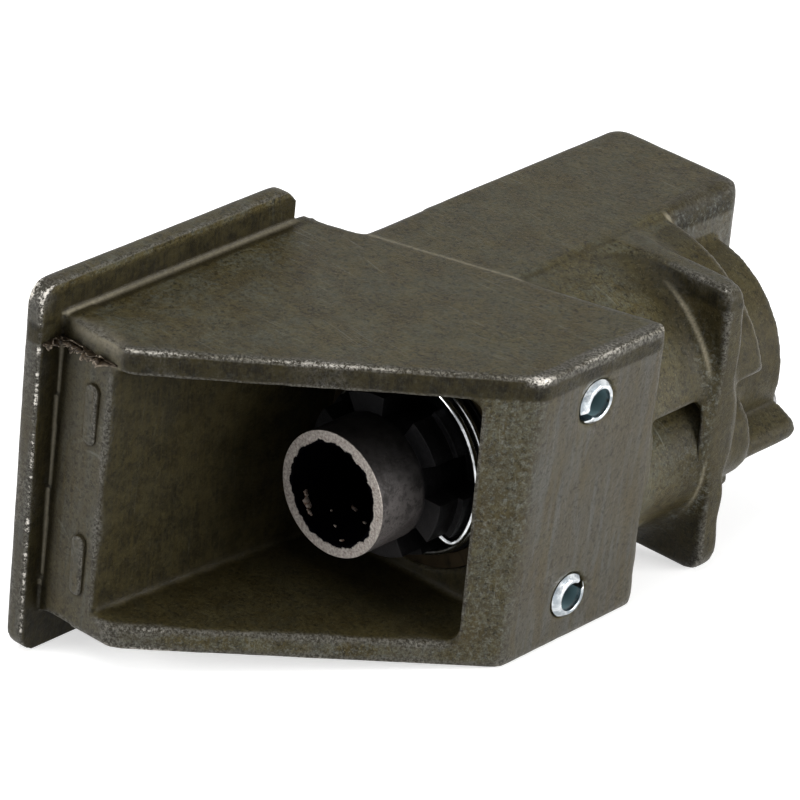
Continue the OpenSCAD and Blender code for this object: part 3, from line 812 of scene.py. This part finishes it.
def without_pads(points):
    """The points with the pads on the front wall pressed back into the wall."""
    points = points.copy()
    half_w, half_h = PAD_SIZE / 2 + PAD_MARGIN
    for z in PAD_ZS:
        a, b, c = (on_housing(Vector((PAD_X + dx, FRONT_OF_ALL, z + dz)), Vector((0, 1, 0)))[0]
                   for dx, dz in ((-half_w, 0), (half_w, 0), (0, half_h)))
        normal = (b - a).cross(c - a)
        wall_y = a.y - (normal.x * (points[:, 0] - a.x) + normal.z * (points[:, 2] - a.z)) / normal.y
        here = (abs(points[:, 0] - PAD_X) < half_w) & (abs(points[:, 2] - z) < half_h)
        here &= points[:, 1] < wall_y
        points[here, 1] = wall_y[here]
    return points


def corner_y(points):
    """The front wall's place along Y where it meets the flange's face, at each point's height."""
    return FRONT_WALL_Y + FRONT_LEAN * points[:, 2]


def sharpened(points):
    """The points with the corner between the flange's face and the front wall drawn to a line."""
    points = points.copy()
    off_face, off_wall = points[:, 0] - FLANGE_FACE_X, corner_y(points) - points[:, 1]
    here = (abs(points[:, 2]) < HOOD_TOP) & (abs(off_face) < 0.9 * VOXEL) & (abs(off_wall) < 0.9 * VOXEL)
    points[here, 0] = FLANGE_FACE_X
    points[here, 1] = corner_y(points)[here]
    return points


def flared(points):
    """The points with the boss widened towards the rib, as a large fillet in the casting."""
    boss = middle_of("locking_plunger")
    dx, dz = points[:, 0] - boss.x, points[:, 2] - boss.z
    radius, angle = np.hypot(dx, dz), np.degrees(np.arctan2(dz, dx))
    grown = rising(points[:, 1], FLARE_START, RIB_Y - FLARE_START) ** 1.4
    wanted = BOSS_R + grown * (FLARE + FLARE_UP * np.clip(np.sin(np.radians(angle)), 0, 1))
    here = (radius > BOSS_R - VOXEL) & (radius < wanted) & (points[:, 1] < RIB_Y + VOXEL)
    here &= (angle > -60) & (angle < 105)
    points = points.copy()
    points[here, 0] = boss.x + (dx / radius * wanted)[here]
    points[here, 2] = boss.z + (dz / radius * wanted)[here]
    return points


def cast_points(mesh, edges):
    """The housing's skin with cast roundness: rounder fillets behind the hood, and a rubbed front corner."""
    points = flared(without_pads(read(mesh.vertices, "co", 3)))
    crisp = soft_box(points, CRISP_LOW, CRISP_HIGH, MARGIN)[:, None]
    points = relaxed(points, edges, CAST_ROUNDS, 0.5 - 0.5 * crisp)
    worn_corner = soft_box(points, RUBBED_LOW, RUBBED_HIGH, RUBBED_MARGIN)[:, None]
    points = sharpened(relaxed(points, edges, CORNER_ROUNDS, 0.5 * worn_corner))
    sunken = np.clip(-2 * bulge(mesh, points, edges)[0], 0, 1) * back_outside(points)
    return relaxed(points, edges, FILLET_ROUNDS, 0.6 * relaxed(sunken[:, None], edges, 4))


def cast_masks(points, normals, out):
    """The paint's masks on the casting, from its points, its normals and how far it bulges out."""
    x, y, z = points.T
    to_right, to_front, upwards = (np.clip(n, 0, 1) for n in (normals[:, 0], -normals[:, 1], normals[:, 2]))
    to_mouth = normals @ MOUTH_FACING
    inside = soft_box(points, CHAMBER_LOW, CHAMBER_HIGH, MARGIN)
    outside = 1 - inside
    face_shade = soft_box(points, SHADED_FACE_LOW, SHADED_FACE_HIGH, MARGIN)
    speckled = soft_box(points, BAND_LOW, BAND_HIGH, 1 * MM)
    behind = rising(y, HOOD_BACK, 2 * MM)
    # Faces turned to the right, which get a painted grey sheen
    right = to_right ** 4 * rising(x, 0.5 * BARREL_R, 2 * MM)
    block_end = rising(normals[:, 0], 0.45, 0.35) * (z > BLOCK_LOW_Z) * (y > BARREL_END)
    block_end *= x < BLOCK_RIGHT + 0.6 * MM
    mouth = rising(to_mouth, 0.75, 0.2) * outside
    top_lip = rising(to_mouth, 0.3, 0.3) * outside
    top_lip *= rising(z, CHAMBER_HIGH.z, 0.6 * MM) * rising(-z, -LIP_TOP, 0.4 * MM)
    rear_shade = rising(y, REAR_START, 6 * MM) * (z < REAR_TOP) * (1 - block_end)
    front = to_front ** 4
    flange_edge = front * (x < FLANGE_FACE_X) * (y < FLANGE_FRONT_Y + 1.4 * MM)
    front_wall = front * (x > FLANGE_FACE_X) * (abs(y - FRONT_WALL_Y) < 2.4 * MM) * outside
    # Painted shade in the front wall's corner beside the flange
    corner_shade = front_wall * np.exp((FLANGE_FACE_X - x) / (3.2 * MM))
    # Painted shade in the crease beside the block
    block_crease_shade = peak(x - BLOCK_RIGHT + 0.6 * MM, 0.5 * MM) * (z > BLOCK_TOP - 1 * MM)
    block_crease_shade *= rising(y, HOOD_BACK - 9 * MM, 2 * MM) * (y < BARREL_END)
    # Painted shade in the chamber, on the flange's face, at the rear, beside the block, in the corner and
    # round the pads; darker paint on the lip and the band
    dark = np.maximum.reduce([
        inside, FLANGE_FACE_SHADE * face_shade, LIP_DARK * top_lip, REAR_SHADE * rear_shade, BAND_DARK * speckled,
        BLOCK_CREASE_SHADE * block_crease_shade, CORNER_SHADE * corner_shade,
        PAD_SHADOW_LINE * front_wall * pad_shadow_lines(points)])

    flange_face = to_right ** 2 * soft_box(points, CRISP_LOW, CRISP_HIGH, MARGIN)
    flange_top = upwards ** 4 * (x < FLANGE_FACE_X) * (z > HOOD_TOP + 4 * MM)
    edge = np.clip(out, 0, 2) * around_pins(points)
    for place, less in ((inside, 0.8), (behind, 0.3), (flange_face, 0.8), (top_lip, 0.8), (flange_edge, 0.45),
                        (flange_top, 0.55), (block_end, 0.8)):
        edge *= 1 - less * place
    rim = soft_box(points, RIM_LOW, RIM_HIGH, 1 * MM) * around_pins(points)
    rubbed = soft_box(points, RUBBED_LOW, RUBBED_HIGH, RUBBED_MARGIN) * np.clip(out, 0, 1)
    return {
        "edge": np.maximum.reduce([edge, BAND_WORN * speckled, RIM_WORN * rim]),
        "cave": np.clip(-out / 1.3, 0, 1),
        # Painted shade, lighter on faces turned upwards as painted light from above
        "inside": dark * (1 - 0.35 * upwards),
        "knock": np.maximum(blobs(points), chips(points)),
        # Painted grey sheen on faces turned right and to the front and on the block's end, with grey wear on
        # the rubbed corner
        "grey": np.maximum.reduce([
            right * (1 - 0.7 * behind), block_end, rubbed, flange_edge, 0.7 * front_wall]),
        # Painted highlight lines, also over the rubbed corner
        "line": np.maximum(highlight_lines(points), 0.5 * rubbed),
        "mouth": np.maximum.reduce([mouth * (1 - top_lip), 0.15 * top_lip, 0.8 * block_end]),
    }


def cast_mesh():
    """The housing as a casting, with where it is worn, sunken, dark (painted shade, and darker paint in
    places) and given painted sheen and highlights as vertex attributes.
    """
    mesh = remeshed("housing")
    edges = read(mesh.edges, "vertices", 2, np.int32)
    points = cast_points(mesh, edges)
    out, normals = bulge(mesh, points, edges)
    add_masks(mesh, **cast_masks(points, normals, out))
    mesh.vertices.foreach_set("co", wavy(points, normals).ravel())
    mesh.update()
    return mesh


def finished_mesh(node):
    """A CAD node's mesh with its flat faces whole and its sharp edges broken by a small round."""
    made = bmesh.new()
    made.from_mesh(frame["nodes"][node].data)
    bmesh.ops.remove_doubles(made, verts=made.verts, dist=0.001 * MM)
    bmesh.ops.dissolve_limit(made, angle_limit=math.radians(0.5), verts=made.verts, edges=made.edges)
    sharp = [e for e in made.edges if e.is_manifold and e.calc_face_angle() > math.radians(28)]
    bmesh.ops.bevel(made, geom=sharp, offset=EDGE_ROUNDS[node] * MM, offset_type="OFFSET", segments=3,
                    profile=0.5, affect="EDGES", clamp_overlap=True)
    return mesh_of(made, node, outward=False)


def finished(name, node, material):
    """A finished piece that is its CAD node with rounded edges."""
    piece = stand_in(name, finished_mesh(node), material, node)
    piece.modifiers.new("even_normals", "WEIGHTED_NORMAL").keep_sharp = True
    return piece


def smooth_route(points, steps):
    """Points along a Catmull-Rom curve through the given points."""
    route = []
    for i in range(len(points) - 1):
        p0, p1 = points[max(i - 1, 0)], points[i]
        p2, p3 = points[i + 1], points[min(i + 2, len(points) - 1)]
        for k in range(steps):
            t = k / steps
            route.append(0.5 * (2 * p1 + (p2 - p0) * t + (2 * p0 - 5 * p1 + 4 * p2 - p3) * t ** 2
                                + (3 * p1 - p0 - 3 * p2 + p3) * t ** 3))
    return route + [points[-1]]


def swept_mesh(name, route, radius, sides=16):
    """A round wire along a route, with domed ends."""
    made = bmesh.new()
    side = (route[1] - route[0]).orthogonal().normalized()
    rings = []
    last = len(route) - 1
    for i, point in enumerate(route):
        along = (route[min(i + 1, last)] - route[max(i - 1, 0)]).normalized()
        side = (side - along * side.dot(along)).normalized()
        up = along.cross(side)
        turn = [2 * math.pi * k / sides for k in range(sides)]
        rings.append([made.verts.new(point + radius * (side * math.cos(a) + up * math.sin(a))) for a in turn])
    bridge(made, rings)
    for ring, tip, inner in ((rings[0], route[0], route[1]), (rings[-1], route[-1], route[-2])):
        end = made.verts.new(tip + (tip - inner).normalized() * radius * 0.3)
        for k in range(sides):
            made.faces.new((ring[k], ring[(k + 1) % sides], end))
    return mesh_of(made, name)


def polar(angle, radius, y):
    """A point at an angle in degrees and a radius about the sleeve's axis."""
    return Vector((radius * math.cos(math.radians(angle)), y, radius * math.sin(math.radians(angle))))


def wire_route():
    """The detent wire's route: its hook, its turns, then the leg into the chamber's back wall."""
    def turn_y(angle):
        return WIRE_Y + WIRE_PITCH * (angle - HOOK_ANGLE) / 360

    points = [
        polar(HOOK_ANGLE, HOOK_R, WIRE_Y - HOOK_REACH),
        polar(HOOK_ANGLE + HOOK_LEAD / 18, (HOOK_R + COIL_R) / 2, WIRE_Y - 0.64 * HOOK_REACH),
        polar(HOOK_ANGLE + HOOK_LEAD / 3, COIL_R - 0.12 * (COIL_R - HOOK_R), WIRE_Y - 0.18 * HOOK_REACH),
    ]
    points += [polar(a, COIL_R, turn_y(a)) for a in range(HOOK_ANGLE + HOOK_LEAD, LEG_ANGLE - LEG_BEND, 12)]
    for share in (0.25, 0.5, 0.75, 1):
        angle = LEG_ANGLE - LEG_BEND * (1 - share)
        points.append(polar(angle, COIL_R + (LEG_R - COIL_R) * share ** 2 * (3 - 2 * share), turn_y(angle)))
    points += [polar(LEG_ANGLE, LEG_R, turn_y(LEG_ANGLE) + 2 * WIRE_R), polar(LEG_ANGLE, LEG_R, LEG_END_Y)]
    return smooth_route(points, 5)


def spring_route():
    """The plunger spring's helix, between the ends of its CAD node."""
    low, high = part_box("plunger_spring")
    middle = middle_of("plunger_spring")
    radius = (high.x - low.x) / 2 - SPRING_WIRE_R
    start, end = low.y + SPRING_WIRE_R, high.y - SPRING_WIRE_R
    steps = SPRING_TURNS * SPRING_STEPS
    route = []
    for i in range(steps + 1):
        turn = 2 * math.pi * i / SPRING_STEPS
        route.append(Vector((middle.x + radius * math.cos(turn), start + (end - start) * i / steps,
                             middle.z + radius * math.sin(turn))))
    return route


def on_housing(start, toward):
    """Where a ray meets the CAD housing, and the surface's normal there."""
    place, normal, _, _ = HOUSING_TREE.ray_cast(start, toward)
    return place, normal


def spread(ends, count):
    """So many values from one end to the other."""
    return [ends[0] + (ends[1] - ends[0]) * i / (count - 1) for i in range(count)]


def flash_stations():
    """Points and normals along the flash: over the flange's face, then over the front wall."""
    on_flange = [on_housing(Vector((FLASH_START_X, y, FLASH_Z)), Vector((-1, 0, 0)))
                 for y in spread(FLASH_FLANGE_YS, FLASH_STEPS[0])]
    on_wall = [on_housing(Vector((x, FRONT_OF_ALL, FLASH_Z)), Vector((0, 1, 0)))
               for x in spread(FLASH_WALL_XS, FLASH_STEPS[1])]
    return on_flange + on_wall


def flash_mesh():
    """A torn lip of metal that the mould left across the front wall's top: shreds that hang and stand out."""
    made = bmesh.new()
    up = Vector((0, 0, 1))
    stations = flash_stations()
    last = len(stations) - 1
    for layer, (drop, lift) in enumerate(FLASH_LAYERS):
        rows = []
        for i, (base, normal) in enumerate(stations):
            slow = noise.noise(Vector((i * 0.17, 3.1, layer * 5.3)))
            torn = abs(noise.noise(Vector((i * 0.27, 7.7, layer * 2.9))))
            tail = min(1, 0.4 + i / 6, 0.15 + (last - i) / 12)
            fall = drop * (0.35 + 1.3 * torn + 0.5 * slow) * tail * MM
            out = lift * (0.4 + 1.2 * abs(slow) + 0.5 * torn) * tail * MM
            root = base + up * 0.3 * slow * MM
            rows.append([made.verts.new(root + normal * away + up * high) for away, high in (
                (-FLASH_ROOT, 0.12 * MM), (0.7 * out, 0.45 * fall + 0.07 * MM), (out, fall),
                (0.7 * out - 0.07 * MM, 0.45 * fall - 0.07 * MM), (-FLASH_ROOT, -0.12 * MM))])
        bridge(made, rows)
        made.faces.new(rows[0])
        made.faces.new(rows[-1])
    mesh = mesh_of(made, "casting_flash")
    add_masks(mesh, edge=np.tile(FLASH_WORN, len(mesh.vertices) // len(FLASH_WORN)))
    return mesh


def pad_mesh(z):
    """A raised oblong pad with rounded edges, on the front wall."""
    top, normal = on_housing(Vector((PAD_X, FRONT_OF_ALL, z)), Vector((0, 1, 0)))
    across = Vector((1, 0, 0)) - normal * normal.x
    up = normal.cross(across).normalized()
    across.normalize()
    half_w, half_h = PAD_SIZE / 2
    turns = [2 * math.pi * (k + 0.5) / PAD_SIDES for k in range(PAD_SIDES)]
    insets, heights, *levels = zip(*PAD_RINGS)
    made = bmesh.new()
    rings = []
    for inset, height in zip(insets, heights):
        radius = half_w - inset * MM
        ring = []
        for a in turns:
            side = math.copysign(half_h - half_w, math.sin(a))
            ring.append(made.verts.new(top + across * radius * math.cos(a)
                                       + up * (side + radius * math.sin(a)) + normal * height * MM))
        rings.append(ring)
    bridge(made, rings)
    made.faces.new(rings[-1])
    made.faces.new(rings[0])
    mesh = mesh_of(made, "pad")
    # Per ring: wear, a hollow with painted shade and highlight, a painted grey sheen on the top, dots, and a
    # painted shadow line at the foot
    worn, sunken, grey, dotted, dark = (np.repeat(level, PAD_SIDES) for level in levels)
    # Wear heavier on the pad's right side, a painted highlight on the side the light falls on
    to_right = np.tile([0.5 + 0.5 * math.cos(a) for a in turns], len(rings))
    worn = worn * (0.45 + 0.55 * to_right)
    add_masks(mesh, edge=worn, knock=worn * 0.3, cave=sunken, grey=grey, mouth=dotted, inside=dark)
    return mesh


def flake_mesh():
    """Loose flakes of scale lying on the bore's wall, each a thin ragged chip."""
    bore_r = MOUNTS["outlet_bore"]["dims"]["r_mm"] * MM
    made = bmesh.new()
    for number, (angle, depth, size) in enumerate(FLAKES):
        middle = polar(angle, bore_r, depth * MM)
        inward = -polar(angle, 1, 0)
        across = Vector((0, 1, 0)).cross(inward)
        rings = []
        for lift in FLAKE_LIFTS:
            ring = []
            for k in range(FLAKE_SIDES):
                a = 2 * math.pi * k / FLAKE_SIDES
                reach = size * MM * (0.75 + 0.6 * noise.noise(Vector((k * 0.9, number * 3.7, 0))))
                ring.append(made.verts.new(middle + across * reach * math.cos(a) + inward * lift
                                           + Vector((0, 0.7 * reach * math.sin(a), 0))))
            rings.append(ring)
        bridge(made, rings)
        for ring in rings:
            made.faces.new(ring)
    return mesh_of(made, "bore_flakes")


def add_camera():
    """The photograph's camera, from its fitted place and turn."""
    data = bpy.data.cameras.new("camera")
    data.lens = LENS_MM
    data.sensor_width = SENSOR_MM
    camera = new_object("camera", data)
    back = CAMERA_RIGHT.cross(CAMERA_UP)
    turn = Matrix((CAMERA_RIGHT, CAMERA_UP, back)).transposed()
    camera.matrix_world = Matrix.Translation(CAMERA_AT) @ turn.to_4x4()
    bpy.context.scene.camera = camera


def add_softbox(name, at, aim, width, watts):
    """A square soft light at one place, aimed at another."""
    data = bpy.data.lights.new(name, "AREA")
    data.shape = "RECTANGLE"
    data.size = data.size_y = width
    data.energy = watts
    lamp = new_object(name, data)
    lamp.location = at
    lamp.rotation_euler = (Vector(aim) - Vector(at)).to_track_quat("-Z", "Y").to_euler()


def seen_rays(tree):
    """1 for the rays that show the background: camera, glossy and transmission rays."""
    path = tree.nodes.new("ShaderNodeLightPath")
    total = path.outputs["Is Camera Ray"]
    for name in ("Is Glossy Ray", "Is Transmission Ray"):
        step = tree.nodes.new("ShaderNodeMath")
        step.operation = "MAXIMUM"
        tree.links.new(total, step.inputs[0])
        tree.links.new(path.outputs[name], step.inputs[1])
        total = step.outputs[0]
    return total


def add_world():
    """White where the camera and reflections see it, and a softer fill light elsewhere."""
    world = bpy.data.worlds.new("studio")
    bpy.context.scene.world = world
    world.use_nodes = True
    tree = world.node_tree
    strength = tree.nodes.new("ShaderNodeMapRange")
    tree.links.new(seen_rays(tree), strength.inputs["Value"])
    strength.inputs["To Min"].default_value = FILL
    tree.nodes["Background"].inputs["Color"].default_value = WHITE
    tree.links.new(strength.outputs[0], tree.nodes["Background"].inputs["Strength"])


def floor_material():
    """A pale matt floor that shows white to the camera and keeps the object's shadow."""
    material = bpy.data.materials.new("floor")
    material.use_nodes = True
    tree = material.node_tree
    bsdf = tree.nodes["Principled BSDF"]
    bsdf.inputs["Base Color"].default_value = FLOOR_GREY
    bsdf.inputs["Roughness"].default_value = 0.9
    bsdf.inputs["Emission Color"].default_value = WHITE
    glow = tree.nodes.new("ShaderNodeMath")
    glow.operation = "MULTIPLY"
    tree.links.new(seen_rays(tree), glow.inputs[0])
    glow.inputs[1].default_value = FLOOR_GLOW
    tree.links.new(glow.outputs[0], bsdf.inputs["Emission Strength"])
    return material


def add_floor():
    """A round floor through the two edges that the object lies on."""
    across = (FLOOR_RIGHT - FLOOR_LEFT).normalized()
    normal = across.cross(Vector((0, 1, 0))).normalized()
    made = bmesh.new()
    bmesh.ops.create_circle(made, cap_ends=True, segments=96, radius=FLOOR_R)
    mesh = mesh_of(made, "floor", outward=False)
    mesh.materials.append(floor_material())
    floor = new_object("floor", mesh)
    turn = Matrix((across, Vector((0, 1, 0)), normal)).transposed().to_4x4()
    floor.matrix_world = Matrix.Translation((FLOOR_LEFT + FLOOR_RIGHT) / 2 - normal * FLOOR_GAP) @ turn


def build_pieces():
    """Every piece of the object, with its material."""
    boss = middle_of("locking_plunger")
    axis = Vector()
    paint = cast_paint()
    spring = bright_metal("spring_wire", srgb(150, 152, 154), srgb(214, 216, 218), 0.08, 0.22)[0].material
    # Bronze darkened to near black: painted shade for the front bush deep in the chamber, shared by the rear
    # bush
    bronze = turned_metal("bronze", srgb(38, 33, 26), srgb(62, 52, 36), axis, 0.32, srgb(20, 18, 15))
    guide = turned_metal("guide_bronze", srgb(120, 92, 50), srgb(176, 140, 84), boss, 0.26, srgb(62, 48, 30))
    steel = turned_metal("plain_steel", srgb(120, 120, 122), srgb(176, 177, 180), axis, 0.24,
                         srgb(70, 66, 60))
    rod = turned_metal("plunger_steel", srgb(132, 132, 134), srgb(190, 191, 194), boss, 0.2, srgb(78, 74, 68))

    stand_in("hood_casting", cast_mesh(), paint, "housing")
    add_piece("casting_flash", flash_mesh(), torn_metal(), "hood")
    for name, z in zip(("upper_pad", "lower_pad"), PAD_ZS):
        add_piece(name, pad_mesh(z), paint, "hood")
    finished("castellated_sleeve", "coupling_sleeve", sleeve_steel())
    add_piece("bore_flakes", flake_mesh(), rusty_flake(), "sleeve")
    finished("front_plain_bush", "front_bush", bronze)
    finished("rear_plain_bush", "rear_bush", bronze)
    finished("thrust_ring", "thrust_washer", steel)
    finished("rear_liner", "socket_liner", steel)
    finished("upper_pin", "upper_spring_pin", zinc_pin("upper_spring_pin"))
    finished("lower_pin", "lower_spring_pin", zinc_pin("lower_spring_pin"))
    finished("sprung_plunger", "locking_plunger", rod)
    finished("plunger_bush", "plunger_guide", guide)
    stand_in("click_wire", swept_mesh("click_wire", wire_route(), WIRE_R), spring, "detent_wire")

    coil = stand_in("plunger_coil", swept_mesh("plunger_coil", spring_route(), SPRING_WIRE_R, SPRING_SIDES),
                    spring, "plunger_spring")
    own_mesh(coil)


bpy.context.scene.view_settings.view_transform = "Standard"
build_pieces()
add_camera()
add_floor()
add_world()
for soft_box_light in SOFT_BOXES:
    add_softbox(*soft_box_light)
